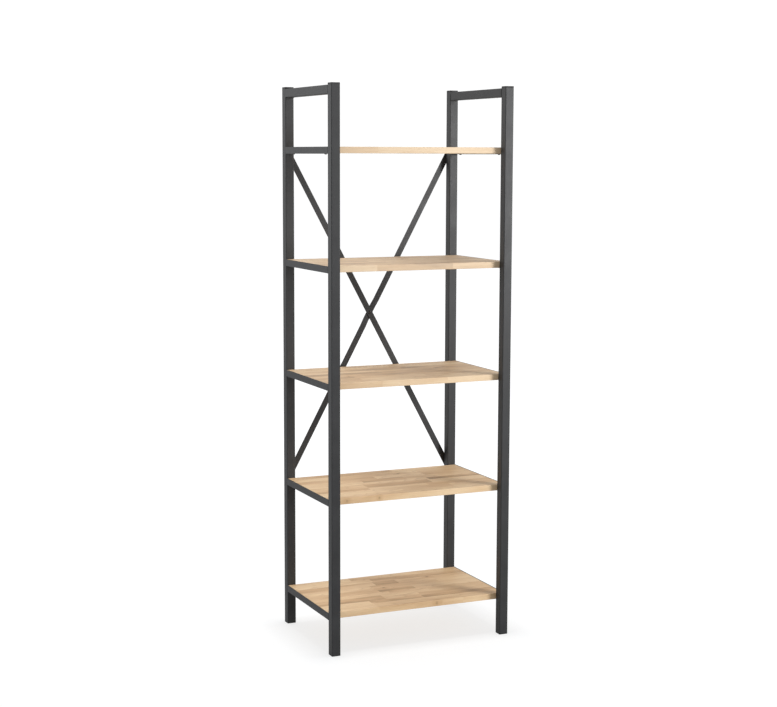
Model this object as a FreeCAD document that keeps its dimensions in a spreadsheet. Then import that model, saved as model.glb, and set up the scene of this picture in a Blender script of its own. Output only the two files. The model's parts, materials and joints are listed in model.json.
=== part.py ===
import FreeCAD, Part
import os

import Sketcher

# Free-standing bookcase: two welded steel side frames, five wooden shelf boards lying in angle rails,
# and a crossed pair of flat bars bolted behind the rear uprights.
# Frame: +X to the right, +Y to the back, +Z up.  The origin is on the floor, in the middle of the
# width and of the whole depth, which counts the brace hardware behind the rear uprights.
# Every size is in millimetres.

SIZES = {
    # overall size, caps and feet included
    "frame_height": 1800,
    "frame_width": 630,
    "frame_depth": 430,
    # square tube of the uprights
    "post_side": 30,
    "post_wall": 1.5,
    "post_corner": 2.5,
    # rectangular tube that closes each side frame at the top
    "top_rail_height": 28,
    "top_rail_wall": 1.5,
    # plastic plugs in the tube ends
    "cap_head": 6,
    "foot_head": 5,
    "head_round": 1.2,
    "plug_depth": 16,
    "plug_wall": 2,
    "plug_play": 0.8,
    "fin_height": 1.6,
    "fin_pitch": 5,
    # top faces of the highest and the lowest board; the others are spaced evenly between them
    "top_shelf_drop": 194,
    "bottom_shelf_level": 134,
    # boards and the angle rails that carry them
    "board_thick": 20,
    "board_round": 1.2,
    "board_play": 1,
    "angle_seat": 22,
    "angle_thick": 2,
    "angle_root": 1.5,
    "angle_edge": 0.5,
    # screws that hold the fixed boards down on their rails
    "shelf_screw_inset": 45,
    "shelf_screw_bore": 4,
    "shelf_screw_grip": 14,
    "shelf_screw_head": 8,
    "shelf_screw_crown": 2.4,
    "shelf_screw_socket": 2.5,
    # crossed flat bars
    "brace_width": 20,
    "brace_thick": 3,
    "brace_drop": 7,
    "joggle_half": 26,
    "joggle_ramp": 24,
    # hardware of the brace
    "bolt_bore": 6,
    "bolt_play": 0.5,
    "bolt_grip": 11,
    "bolt_head": 10.5,
    "bolt_crown": 3.3,
    "bolt_socket": 4,
    "thread_end": 0.8,
    "washer_across": 12,
    "washer_thick": 1.6,
    "nut_across": 10,
    "nut_height": 3.2,
    "rivet_flange": 1,
    "rivet_flange_across": 12,
    "rivet_barrel": 9,
    "rivet_length": 13,
}

# shelves from the top one down; the fixed ones tie the side frames together
SHELVES = ("top", "upper", "middle", "lower", "bottom")
FIXED_SHELVES = ("top", "lower", "bottom")
BRACE_SHELVES = ("top", "lower")
SIDES = {"left": -1, "right": 1}

# lengths worked out from the sheet, as expressions of the document
BRACE_FACE = "(Sizes.frame_depth + Sizes.rivet_flange)"
CENTRE_GRIP = "(2 * Sizes.brace_thick + Sizes.nut_height + Sizes.thread_end)"
FRONT = f"(-(Sizes.frame_depth + Sizes.rivet_flange + {CENTRE_GRIP}) / 2)"
POST_X = "((Sizes.frame_width - Sizes.post_side) / 2)"
POST_Y = {
    "front": f"({FRONT} + Sizes.post_side / 2)",
    "rear": f"({FRONT} + Sizes.frame_depth - Sizes.post_side / 2)",
}
MID_Y = f"({FRONT} + Sizes.frame_depth / 2)"
TUBE_TOP = "(Sizes.frame_height - Sizes.cap_head)"
RAIL_LENGTH = "(Sizes.frame_depth - 2 * Sizes.post_side)"
ANGLE_HEIGHT = "(Sizes.board_thick + Sizes.angle_thick)"
BOARD_WIDTH = "(Sizes.frame_width - 2 * Sizes.angle_thick - 2 * Sizes.board_play)"
BOARD_DEPTH = f"({RAIL_LENGTH} - 2 * Sizes.board_play)"
SCREW_X = "(Sizes.frame_width / 2 - (Sizes.angle_thick + Sizes.angle_seat) / 2)"
SCREW_Y = f"({RAIL_LENGTH} / 2 - Sizes.shelf_screw_inset)"
SHELF_PITCH = "((Sizes.frame_height - Sizes.top_shelf_drop - Sizes.bottom_shelf_level)" \
              f" / {len(SHELVES) - 1})"
BRACE_STEPS = SHELVES.index(BRACE_SHELVES[1]) - SHELVES.index(BRACE_SHELVES[0])
BRACE_RUN = f"(2 * {POST_X})"
BRACE_RISE = f"({BRACE_STEPS} * {SHELF_PITCH})"
BRACE_LENGTH = f"(sqrt({BRACE_RUN} * {BRACE_RUN} + {BRACE_RISE} * {BRACE_RISE}))"
BRACE_ANGLE = f"atan2({BRACE_RISE}; {BRACE_RUN})"

doc = FreeCAD.newDocument("Bookcase")
pieces = []


def make_sheet():
    """Keep the driving dimensions in a spreadsheet, one aliased cell each."""
    sheet = doc.addObject("Spreadsheet::Sheet", "Sizes")
    for row, (alias, value) in enumerate(SIZES.items(), start=1):
        sheet.set(f"A{row}", alias)
        sheet.set(f"B{row}", str(value))
        sheet.setAlias(f"B{row}", alias)
    doc.recompute()
    return sheet


def number(expression):
    """Value of an expression of the document, as a plain number."""
    value = sheet.evalExpression(str(expression))
    return float(getattr(value, "Value", value))


def shelf_level(shelf):
    """Height of the top face of a shelf board."""
    return f"(Sizes.frame_height - Sizes.top_shelf_drop - {SHELVES.index(shelf)} * {SHELF_PITCH})"


# ---------------------------------------------------------------- sketches and features

def new_body(name):
    """Empty body for one sub-part."""
    return doc.addObject("PartDesign::Body", name)


def new_sketch(body, role, offset="0"):
    """Sketch on one of the body's own origin planes, moved along its normal."""
    plane = next(item for item in body.Origin.OriginFeatures if item.Role == role)
    sketch = body.newObject("Sketcher::SketchObject", f"{body.Name}_sketch")
    sketch.AttachmentSupport = [(plane, "")]
    sketch.MapMode = "FlatFace"
    sketch.setExpression("AttachmentOffset.Base.z", str(offset))
    return sketch


def size_constraint(sketch, kind, references, expression):
    """Dimension that follows an expression."""
    index = sketch.addConstraint(Sketcher.Constraint(kind, *references, number(expression)))
    sketch.setExpression(f"Constraints[{index}]", str(expression))


def add_outline(sketch, points):
    """Closed outline of straight lines through points given as pairs of expressions."""
    corners = [FreeCAD.Vector(number(x), number(y), 0) for x, y in points]
    ends = corners[1:] + corners[:1]
    first = sketch.addGeometry([Part.LineSegment(a, b) for a, b in zip(corners, ends)], False)[0]
    count = len(points)
    for step in range(count):
        following = first + (step + 1) % count
        sketch.addConstraint(Sketcher.Constraint("Coincident", first + step, 2, following, 1))
    for step, (x, y) in enumerate(points):
        size_constraint(sketch, "DistanceX", (-1, 1, first + step, 1), x)
        size_constraint(sketch, "DistanceY", (-1, 1, first + step, 1), y)


def add_rectangle(sketch, width, height):
    """Sharp rectangle centred on the sketch's origin."""
    half_x, half_y = f"({width} / 2)", f"({height} / 2)"
    low_x, low_y = f"(-{half_x})", f"(-{half_y})"
    add_outline(sketch, [(low_x, low_y), (half_x, low_y), (half_x, half_y), (low_x, half_y)])


def add_circle(sketch, x, y, diameter):
    """Circle at a point given by expressions."""
    centre = FreeCAD.Vector(number(x), number(y), 0)
    circle = Part.Circle(centre, FreeCAD.Vector(0, 0, 1), number(diameter) / 2)
    index = sketch.addGeometry(circle, False)
    size_constraint(sketch, "DistanceX", (-1, 1, index, 3), x)
    size_constraint(sketch, "DistanceY", (-1, 1, index, 3), y)
    size_constraint(sketch, "Radius", (index,), f"({diameter} / 2)")


def add_hexagon(sketch, across):
    """Regular hexagon centred on the sketch's origin, given its size across the flats."""
    reach = f"({across} / 2 / cos(30 deg))"
    turns = [f"{60 * step} deg" for step in range(6)]
    add_outline(sketch, [(f"({reach} * cos({turn}))", f"({reach} * sin({turn}))") for turn in turns])


def make_pad(body, sketch, length, midplane=False, back=False):
    """Pad of a sketch, one way or half to each side."""
    pad = body.newObject("PartDesign::Pad", f"{body.Name}_pad")
    pad.Profile = sketch
    pad.setExpression("Length", str(length))
    pad.Midplane = midplane
    pad.Reversed = back
    doc.recompute()
    return pad


def make_pocket(body, sketch, length, back=False):
    """Pocket of a sketch, which has to take material away."""
    before = body.Shape.Volume
    pocket = body.newObject("PartDesign::Pocket", f"{body.Name}_pocket")
    pocket.Profile = sketch
    pocket.setExpression("Length", str(length))
    pocket.Reversed = back
    doc.recompute()
    if not body.Shape.Volume < before:
        raise RuntimeError(f"{pocket.Name} cuts nothing")
    return pocket


def make_revolution(body, sketch):
    """Full turn of a sketch about its vertical axis."""
    turned = body.newObject("PartDesign::Revolution", f"{body.Name}_revolution")
    turned.Profile = sketch
    turned.ReferenceAxis = (sketch, ["V_Axis"])
    turned.Angle = 360
    doc.recompute()
    return turned


def round_edges(body, base, radius, wanted):
    """Fillet on every edge of a feature that the test picks."""
    names = [f"Edge{index}" for index, edge in enumerate(base.Shape.Edges, start=1) if wanted(edge)]
    if not names:
        raise RuntimeError(f"{body.Name} has no edge to round")
    fillet = body.newObject("PartDesign::Fillet", f"{body.Name}_fillet")
    fillet.Base = (base, names)
    fillet.setExpression("Radius", str(radius))
    doc.recompute()
    return fillet


def runs_along(axis):
    """Test for straight edges parallel to X, Y or Z."""
    direction = {"x": FreeCAD.Vector(1, 0, 0), "y": FreeCAD.Vector(0, 1, 0), "z": FreeCAD.Vector(0, 0, 1)}

    def wanted(edge):
        span = edge.Vertexes[-1].Point - edge.Vertexes[0].Point
        return span.Length > 0 and span.cross(direction[axis]).Length < 1e-6 * span.Length
    return wanted


def runs_back_through(corners):
    """Test for edges parallel to Y through corners given as pairs of expressions for X and Z."""
    spots = [(number(x), number(z)) for x, z in corners]

    def wanted(edge):
        box = edge.BoundBox
        return any(abs(box.XMin - x) + abs(box.XMax - x) + abs(box.ZMin - z) + abs(box.ZMax - z) < 1e-5
                   for x, z in spots)
    return wanted


def lies_at_height(height):
    """Test for edges that lie level at one height of the body."""
    return lambda edge: abs(edge.BoundBox.ZMin - height) + abs(edge.BoundBox.ZMax - height) < 1e-5


def place(item, x, y, z, axis=(0, 0, 1), angle="0"):
    """Bind an object's place, and its turn about an axis, to expressions."""
    item.Placement = FreeCAD.Placement(
        FreeCAD.Vector(number(x), number(y), number(z)),
        FreeCAD.Rotation(FreeCAD.Vector(*axis), number(angle)),
    )
    item.setExpression(".Placement.Base.x", str(x))
    item.setExpression(".Placement.Base.y", str(y))
    item.setExpression(".Placement.Base.z", str(z))
    if number(angle):
        item.setExpression(".Placement.Rotation.Angle", str(angle))


def keep(item, label):
    """Name a finished sub-part and list it for export."""
    item.Label = label
    pieces.append(item)


def keep_group(items, label):
    """Identical pieces as one node of separate solids."""
    group = doc.addObject("Part::Compound", f"{label}_group")
    group.Links = items
    doc.recompute()
    keep(group, label)


# ---------------------------------------------------------------- welded side frames

def make_tube(name, width, height, wall, length, plane):
    """Hollow rectangular tube with rounded long edges, padded from one of the origin planes."""
    upright = plane == "XY_Plane"
    body = new_body(name)
    outer = new_sketch(body, plane)
    add_rectangle(outer, width, height)
    pad = make_pad(body, outer, length, midplane=not upright)
    along = runs_along("z" if upright else "y")
    round_edges(body, pad, "Sizes.post_corner", along)
    bore = new_sketch(body, plane, "0" if upright else f"(-{length} / 2)")
    add_rectangle(bore, f"({width} - 2 * {wall})", f"({height} - 2 * {wall})")
    cut = make_pocket(body, bore, length, back=True)
    half_x, half_y = number(f"{width} / 2 - {wall}"), number(f"{height} / 2 - {wall}")

    def is_bore_corner(edge):
        box = edge.BoundBox
        across = box.YMax if upright else box.ZMax
        return along(edge) and abs(abs(box.XMax) - half_x) < 1e-6 and abs(abs(across) - half_y) < 1e-6
    round_edges(body, cut, f"(Sizes.post_corner - {wall})", is_bore_corner)
    return body


def make_uprights():
    """Four square tubes; the rear ones have the holes for the brace's rivet nuts."""
    for side, sign in SIDES.items():
        for end, y in POST_Y.items():
            length = f"({TUBE_TOP} - Sizes.foot_head)"
            body = make_tube(f"Upright_{end}_{side}", "Sizes.post_side", "Sizes.post_side",
                             "Sizes.post_wall", length, "XY_Plane")
            if end == "rear":
                holes = new_sketch(body, "XZ_Plane")
                for shelf in BRACE_SHELVES:
                    height = f"({shelf_level(shelf)} - Sizes.brace_drop - Sizes.foot_head)"
                    add_circle(holes, "0", height, "Sizes.rivet_barrel")
                make_pocket(body, holes, "Sizes.post_side")
            place(body, f"({sign} * {POST_X})", y, "Sizes.foot_head")
            keep(body, f"upright_{end}_{side}")


def make_top_rails():
    """Rectangular tube across the top of each side frame, level with the ends of the uprights."""
    for side, sign in SIDES.items():
        body = make_tube(f"Top_rail_{side}", "Sizes.post_side", "Sizes.top_rail_height",
                         "Sizes.top_rail_wall", RAIL_LENGTH, "XZ_Plane")
        place(body, f"({sign} * {POST_X})", MID_Y, f"({TUBE_TOP} - Sizes.top_rail_height / 2)")
        keep(body, f"top_rail_{side}")


def make_shelf_rail(shelf, side, sign):
    """Angle rail: upright leg outside, level with the board's top, and a seat under the board."""
    body = new_body(f"Shelf_rail_{shelf}_{side}")
    profile = new_sketch(body, "XZ_Plane")
    thick, seat = "Sizes.angle_thick", "Sizes.angle_seat"
    root = (thick, thick)
    corners = [("0", "0"), (seat, "0"), (seat, thick), (thick, ANGLE_HEIGHT), ("0", ANGLE_HEIGHT)]
    add_outline(profile, corners[:3] + [root] + corners[3:])
    pad = make_pad(body, profile, RAIL_LENGTH, midplane=True)
    rooted = round_edges(body, pad, "Sizes.angle_root", runs_back_through([root]))
    round_edges(body, rooted, "Sizes.angle_edge", runs_back_through(corners))
    if shelf in FIXED_SHELVES:
        holes = new_sketch(body, "XY_Plane")
        for way in (-1, 1):
            add_circle(holes, f"(({thick} + {seat}) / 2)", f"({way} * {SCREW_Y})",
                       "(Sizes.shelf_screw_bore + Sizes.bolt_play)")
        make_pocket(body, holes, thick, back=True)
    turn = "180" if sign > 0 else "0"
    place(body, f"({sign} * Sizes.frame_width / 2)", MID_Y, f"({shelf_level(shelf)} - {ANGLE_HEIGHT})",
          angle=turn)
    keep(body, f"shelf_rail_{shelf}_{side}")


# ---------------------------------------------------------------- plastic plugs

def make_plug(name, head):
    """Ribbed tube plug: a square head with softened edges and a hollow stem with gripping fins."""
    body = new_body(name)
    face = new_sketch(body, "XY_Plane")
    add_rectangle(face, "Sizes.post_side", "Sizes.post_side")
    pad = make_pad(body, face, head)
    soft = round_edges(body, pad, "Sizes.post_corner", runs_along("z"))
    round_edges(body, soft, "Sizes.head_round", lies_at_height(number(head)))
    inner = "(Sizes.post_side - 2 * Sizes.post_wall)"
    stem_side = f"({inner} - 2 * Sizes.plug_play)"
    stem = new_sketch(body, "XY_Plane")
    add_rectangle(stem, stem_side, stem_side)
    make_pad(body, stem, "Sizes.plug_depth", back=True)
    for step in (1, 2):
        depth = f"({step} * Sizes.fin_pitch)"
        fin = new_sketch(body, "XY_Plane", f"(-{depth})")
        fin_side = f"({inner} - 2 * (Sizes.post_corner - Sizes.post_wall) * (1 - cos(45 deg)))"
        add_rectangle(fin, fin_side, fin_side)
        make_pad(body, fin, "Sizes.fin_height", back=True)
    hollow = new_sketch(body, "XY_Plane", "(-Sizes.plug_depth)")
    hollow_side = f"({stem_side} - 2 * Sizes.plug_wall)"
    add_rectangle(hollow, hollow_side, hollow_side)
    make_pocket(body, hollow, "Sizes.plug_depth", back=True)
    return body


def make_caps_and_feet():
    """A cap on the top and a foot under the bottom of every upright."""
    for side, sign in SIDES.items():
        for end, y in POST_Y.items():
            x = f"({sign} * {POST_X})"
            cap = make_plug(f"Top_cap_{end}_{side}", "Sizes.cap_head")
            place(cap, x, y, TUBE_TOP)
            keep(cap, f"top_cap_{end}_{side}")
            foot = make_plug(f"Foot_{end}_{side}", "Sizes.foot_head")
            place(foot, x, y, "Sizes.foot_head", axis=(1, 0, 0), angle="180")
            keep(foot, f"foot_{end}_{side}")


# ---------------------------------------------------------------- boards

def make_board(shelf):
    """Board with softened edges; a fixed one has the blind holes its screws bite in."""
    body = new_body(f"Shelf_board_{shelf}")
    face = new_sketch(body, "XY_Plane")
    add_rectangle(face, BOARD_WIDTH, BOARD_DEPTH)
    pad = make_pad(body, face, "Sizes.board_thick")
    round_edges(body, pad, "Sizes.board_round", lambda edge: True)
    if shelf in FIXED_SHELVES:
        holes = new_sketch(body, "XY_Plane")
        for x_way in (-1, 1):
            for y_way in (-1, 1):
                add_circle(holes, f"({x_way} * {SCREW_X})", f"({y_way} * {SCREW_Y})",
                           "Sizes.shelf_screw_bore")
        make_pocket(body, holes, "Sizes.shelf_screw_grip", back=True)
    place(body, "0", MID_Y, f"({shelf_level(shelf)} - Sizes.board_thick)")
    keep(body, f"shelf_board_{shelf}")


# ---------------------------------------------------------------- screws, nuts and washers

def make_screw(name, shank, grip, head, crown, socket):
    """Button-head screw: head above the local floor, shank below it, hexagon socket in the head."""
    body = new_body(name)
    profile = new_sketch(body, "XZ_Plane")
    head_half, shank_half = f"({head} / 2)", f"({shank} / 2)"
    add_outline(profile, [("0", f"(-{grip})"), (f"({shank_half} * 0.75)", f"(-{grip})"),
                          (shank_half, f"(-{grip} + {shank_half} * 0.25)"), (shank_half, "0"),
                          (head_half, "0"), (head_half, f"({crown} * 0.3)"),
                          (f"({head_half} * 0.82)", f"({crown} * 0.75)"),
                          (f"({head_half} * 0.55)", crown), ("0", crown)])
    make_revolution(body, profile)
    recess = new_sketch(body, "XY_Plane", crown)
    add_hexagon(recess, socket)
    make_pocket(body, recess, f"({crown} * 0.6)")
    return body


def make_shelf_screws(shelf):
    """Four screws up through the seats of the angle rails into a fixed board."""
    screws = []
    for x_way in (-1, 1):
        for y_way in (-1, 1):
            screw = make_screw(f"Shelf_screw_{shelf}", "Sizes.shelf_screw_bore",
                               "(Sizes.shelf_screw_grip + Sizes.angle_thick)", "Sizes.shelf_screw_head",
                               "Sizes.shelf_screw_crown", "Sizes.shelf_screw_socket")
            place(screw, f"({x_way} * {SCREW_X})", f"({MID_Y} + {y_way} * {SCREW_Y})",
                  f"({shelf_level(shelf)} - {ANGLE_HEIGHT})", axis=(1, 0, 0), angle="180")
            screws.append(screw)
    keep_group(screws, f"shelf_screws_{shelf}")


def make_ring(name, outline, height, bore):
    """Flat ring or nut: an outline drawn by a function, padded to the back, with a round bore."""
    body = new_body(name)
    face = new_sketch(body, "XZ_Plane")
    outline(face)
    add_circle(face, "0", "0", bore)
    make_pad(body, face, height, back=True)
    return body


def make_rivet_nut(name):
    """Rivet nut: flange on the tube's rear face and a threaded barrel inside the tube."""
    body = new_body(name)
    flange = new_sketch(body, "XZ_Plane")
    add_circle(flange, "0", "0", "Sizes.rivet_flange_across")
    make_pad(body, flange, "Sizes.rivet_flange", back=True)
    barrel = new_sketch(body, "XZ_Plane")
    add_circle(barrel, "0", "0", "Sizes.rivet_barrel")
    make_pad(body, barrel, "Sizes.rivet_length")
    bore = new_sketch(body, "XZ_Plane", "(-Sizes.rivet_flange)")
    add_circle(bore, "0", "0", "Sizes.bolt_bore")
    make_pocket(body, bore, "(Sizes.rivet_flange + Sizes.rivet_length)", back=True)
    return body


def make_brace_hardware():
    """Rivet nut, washer and button-head screw at each end of the two bars."""
    rivets, washers, screws = [], [], []
    rear = f"({FRONT} + Sizes.frame_depth)"
    for shelf in BRACE_SHELVES:
        for sign in SIDES.values():
            x, z = f"({sign} * {POST_X})", f"({shelf_level(shelf)} - Sizes.brace_drop)"
            rivet = make_rivet_nut("Rivet_nut")
            place(rivet, x, rear, z)
            rivets.append(rivet)
            washer = make_ring("Washer", lambda face: add_circle(face, "0", "0", "Sizes.washer_across"),
                               "Sizes.washer_thick", "(Sizes.bolt_bore + Sizes.bolt_play)")
            place(washer, x, f"({FRONT} + {BRACE_FACE} + Sizes.brace_thick)", z)
            washers.append(washer)
            grip = "(Sizes.bolt_grip + Sizes.rivet_flange + Sizes.brace_thick + Sizes.washer_thick)"
            screw = make_screw("Brace_screw", "Sizes.bolt_bore", grip, "Sizes.bolt_head",
                               "Sizes.bolt_crown", "Sizes.bolt_socket")
            place(screw, x, f"({FRONT} + {BRACE_FACE} + Sizes.brace_thick + Sizes.washer_thick)", z,
                  axis=(1, 0, 0), angle="-90")
            screws.append(screw)
    keep_group(rivets, "brace_rivet_nuts")
    keep_group(washers, "brace_washers")
    keep_group(screws, "brace_end_screws")


# ---------------------------------------------------------------- crossed bars

BRACE_MIDDLE = f"(({shelf_level(BRACE_SHELVES[0])} + {shelf_level(BRACE_SHELVES[1])}) / 2" \
               " - Sizes.brace_drop)"


def make_bar_outline(name, thickness):
    """Bar outline along X with round ends, a hole at each end and one in the middle."""
    body = new_body(name)
    face = new_sketch(body, "XZ_Plane")
    add_rectangle(face, BRACE_LENGTH, "Sizes.brace_width")
    make_pad(body, face, thickness, back=True)
    for way in (-1, 1):
        end = new_sketch(body, "XZ_Plane")
        add_circle(end, f"({way} * {BRACE_LENGTH} / 2)", "0", "Sizes.brace_width")
        make_pad(body, end, thickness, back=True)
    holes = new_sketch(body, "XZ_Plane")
    for way in (-1, 0, 1):
        add_circle(holes, f"({way} * {BRACE_LENGTH} / 2)", "0", "(Sizes.bolt_bore + Sizes.bolt_play)")
    make_pocket(body, holes, thickness)
    return body


def make_brace_bars():
    """Flat bar falling to the right, and behind it the rising bar, joggled over the crossing."""
    y = f"({FRONT} + {BRACE_FACE})"
    flat = make_bar_outline("Brace_bar_falling", "Sizes.brace_thick")
    place(flat, "0", y, BRACE_MIDDLE, axis=(0, 1, 0), angle=BRACE_ANGLE)
    keep(flat, "brace_bar_falling")

    strip = new_body("Joggled_strip")
    side_view = new_sketch(strip, "XY_Plane")
    thick = "Sizes.brace_thick"
    far = f"(({BRACE_LENGTH} + Sizes.brace_width) / 2)"
    foot, crest = "(Sizes.joggle_half + Sizes.joggle_ramp)", "Sizes.joggle_half"
    near_face = [(f"(-{far})", "0"), (f"(-{foot})", "0"), (f"(-{crest})", thick),
                 (crest, thick), (foot, "0"), (far, "0")]
    rear_face = [(x, f"({y_value} + {thick})") for x, y_value in reversed(near_face)]
    add_outline(side_view, near_face + rear_face)
    make_pad(strip, side_view, "Sizes.brace_width", midplane=True)
    cutter = make_bar_outline("Bar_outline", f"(2 * {thick})")
    bar = doc.addObject("Part::Common", "Brace_bar_rising")
    bar.Base = strip
    bar.Tool = cutter
    doc.recompute()
    place(bar, "0", y, BRACE_MIDDLE, axis=(0, 1, 0), angle=f"(-{BRACE_ANGLE})")
    keep(bar, "brace_bar_rising")


def make_crossing_hardware():
    """Button-head screw through both bars where they cross, with a thin nut behind."""
    y = f"({FRONT} + {BRACE_FACE})"
    screw = make_screw("Brace_centre_screw", "Sizes.bolt_bore", CENTRE_GRIP, "Sizes.bolt_head",
                       "Sizes.bolt_crown", "Sizes.bolt_socket")
    place(screw, "0", y, BRACE_MIDDLE, axis=(1, 0, 0), angle="90")
    keep(screw, "brace_centre_screw")
    nut = make_ring("Brace_centre_nut", lambda face: add_hexagon(face, "Sizes.nut_across"),
                    "Sizes.nut_height", "Sizes.bolt_bore")
    place(nut, "0", f"({y} + 2 * Sizes.brace_thick)", BRACE_MIDDLE)
    keep(nut, "brace_centre_nut")


# ---------------------------------------------------------------- build and export

def check_and_export():
    """Stop on any failed object, then write one file for each sub-part."""
    doc.recompute()
    for item in doc.Objects:
        if {"Invalid", "Error"} & set(item.State):
            raise RuntimeError(f"{item.Label} failed: {item.State}")
    for piece in pieces:
        if piece.Shape.isNull() or not piece.Shape.isValid():
            raise RuntimeError(f"{piece.Label} has no valid shape")
    os.makedirs("parts", exist_ok=True)
    for piece in pieces:
        piece.Shape.exportStep(f"parts/{piece.Label}.step")
        print(piece.Label, len(piece.Shape.Solids), round(piece.Shape.Volume, 1))


sheet = make_sheet()
make_uprights()
make_top_rails()
for shelf_name in SHELVES:
    for side_name, side_sign in SIDES.items():
        make_shelf_rail(shelf_name, side_name, side_sign)
    make_board(shelf_name)
for shelf_name in FIXED_SHELVES:
    make_shelf_screws(shelf_name)
make_caps_and_feet()
make_brace_bars()
make_brace_hardware()
make_crossing_hardware()
check_and_export()
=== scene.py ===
"""Looks of an open bookcase: black powder-coated steel side frames, oak boards and a crossed brace.

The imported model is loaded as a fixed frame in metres, +X right, +Y back, +Z up.  Its steel tubes, angle
rails, plugs and rivet nuts are shown as they are, with their finishes.  The boards, brace bars,
washers, screws and nut are rebuilt in more detail, and the weld beads are added.
"""

import json
import logging
import math
from dataclasses import dataclass, field, replace
from enum import Enum
from typing import Callable, Iterable, Sequence

import bmesh
import bpy
from mathutils import Euler, Matrix, Vector


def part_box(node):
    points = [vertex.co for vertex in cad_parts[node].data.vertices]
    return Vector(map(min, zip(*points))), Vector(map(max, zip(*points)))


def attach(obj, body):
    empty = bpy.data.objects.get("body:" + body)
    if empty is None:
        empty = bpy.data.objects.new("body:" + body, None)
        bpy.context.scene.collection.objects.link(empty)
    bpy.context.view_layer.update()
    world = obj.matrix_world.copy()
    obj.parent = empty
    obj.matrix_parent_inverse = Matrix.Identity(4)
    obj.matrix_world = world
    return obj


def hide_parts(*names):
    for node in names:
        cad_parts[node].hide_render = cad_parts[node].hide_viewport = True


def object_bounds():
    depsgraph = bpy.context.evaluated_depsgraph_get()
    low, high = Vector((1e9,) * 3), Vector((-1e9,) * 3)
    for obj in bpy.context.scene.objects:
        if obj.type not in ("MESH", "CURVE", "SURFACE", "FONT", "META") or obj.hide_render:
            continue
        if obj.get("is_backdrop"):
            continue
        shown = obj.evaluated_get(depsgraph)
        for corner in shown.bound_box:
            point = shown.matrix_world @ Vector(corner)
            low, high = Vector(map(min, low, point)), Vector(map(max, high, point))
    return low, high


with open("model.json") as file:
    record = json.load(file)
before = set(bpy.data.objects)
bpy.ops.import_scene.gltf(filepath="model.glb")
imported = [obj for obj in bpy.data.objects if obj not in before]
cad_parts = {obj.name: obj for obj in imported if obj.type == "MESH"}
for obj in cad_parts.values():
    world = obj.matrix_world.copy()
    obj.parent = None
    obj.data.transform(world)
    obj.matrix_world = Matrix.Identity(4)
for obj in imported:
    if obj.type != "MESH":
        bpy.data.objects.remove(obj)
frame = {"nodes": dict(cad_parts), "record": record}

LOG = logging.getLogger("bookcase")
MM = 0.001
STEEL_BODY = "frame"
WHITE = (1.0, 1.0, 1.0, 1.0)
JOIN_DISTANCE = 0.002 * MM
PLANE_TOLERANCE = 0.01 * MM
FLAT_ANGLE = math.radians(0.5)
BEVEL_ANGLE = math.radians(35)
SMOOTH_ANGLE = math.radians(38)

Socket = bpy.types.NodeSocket
Material = bpy.types.Material
Mesh = bpy.types.Mesh
Piece = bpy.types.Object
Radius = Callable[[float, float], float]


class Slot(Enum):
    """Material slots of the record."""

    POWDER = "black_powder_coat"
    OAK = "oak_board"
    PLASTIC = "black_plastic"
    BLACK_STEEL = "blackened_steel"
    ZINC = "zinc_plated_steel"


class Shelf(Enum):
    """Shelves from the top one down, with the body that each board rides on."""

    TOP = ("top", "frame")
    UPPER = ("upper", "upper_shelf")
    MIDDLE = ("middle", "middle_shelf")
    LOWER = ("lower", "frame")
    BOTTOM = ("bottom", "frame")

    def __init__(self, word: str, body: str) -> None:
        """Read the value; boards that ride on the steel's own body are screwed down.

        Args:
            word: Word for the shelf in node names.
            body: Body that the board rides on.
        """
        self.word = word
        self.body = body
        self.screwed = body == STEEL_BODY


class Side(Enum):
    """Left and right side frame, with the direction in X that points outwards."""

    LEFT = ("left", -1)
    RIGHT = ("right", 1)

    def __init__(self, word: str, outward: int) -> None:
        """Read the word in node names and the sign of X away from the middle."""
        self.word = word
        self.outward = outward


# ---- node trees

@dataclass(frozen=True)
class Grain:
    """Noise pattern, in features per metre."""

    scale: float
    detail: float = 2.0
    roughness: float = 0.5
    stretch: tuple | None = None


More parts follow.
